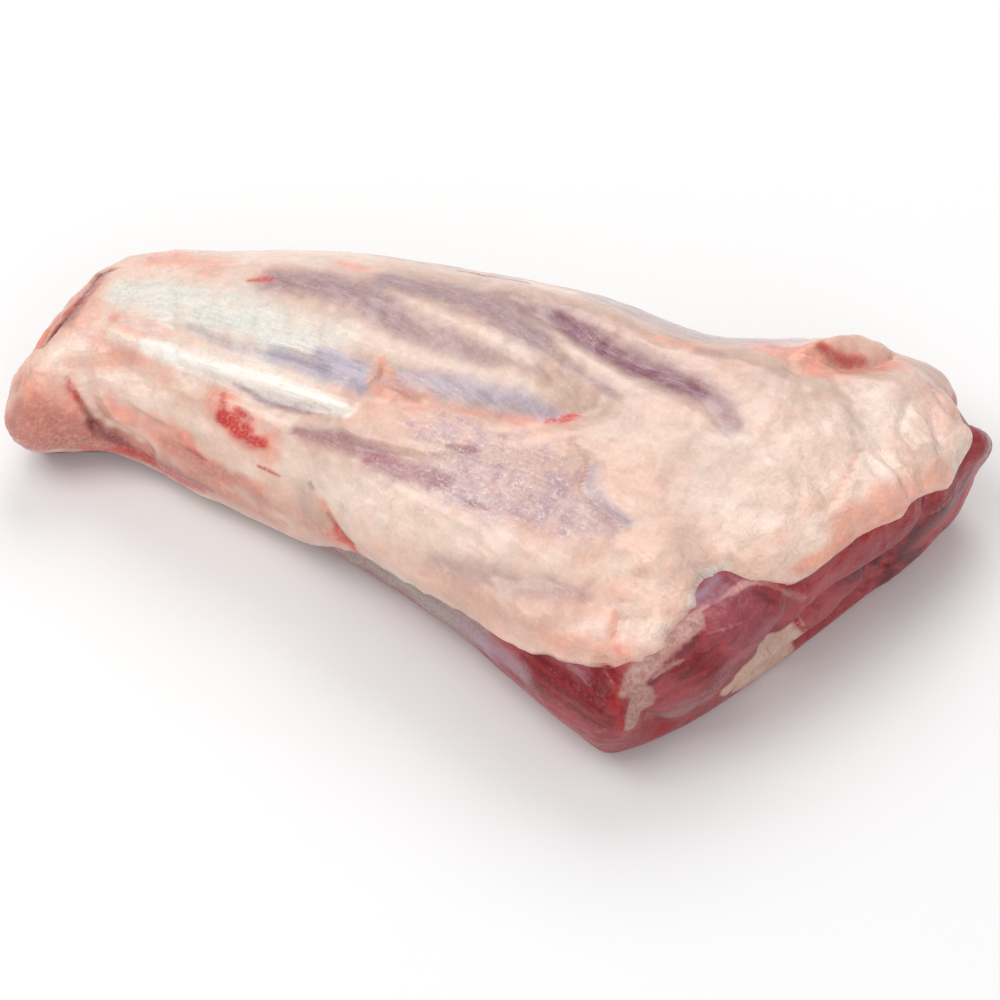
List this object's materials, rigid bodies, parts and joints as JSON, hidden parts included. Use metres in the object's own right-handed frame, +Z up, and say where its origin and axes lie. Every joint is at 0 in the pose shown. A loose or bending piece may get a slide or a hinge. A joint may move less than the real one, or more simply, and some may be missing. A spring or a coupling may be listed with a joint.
{
  "type": "raw lamb shank",
  "caption": "Raw lamb shank lying on its side: a tapering leg joint with a pale fat cover, a long tendon ridge, a blunt hock end and a wide cut end of lean meat",
  "frame": {"origin": "Middle of the bounding box, on the table: the point under the middle of the shank on the plane it rests on", "axes": "+X runs from the hock end to the wide cut end, +Y across to the far side, +Z up from the table through the fat cover"},
  "size_m": [0.2116, 0.108, 0.0501],
  "materials": {
    "meat": null
  },
  "bodies": {
    "root": {"lamb_shank": "meat"}
  },
  "joints": []
}
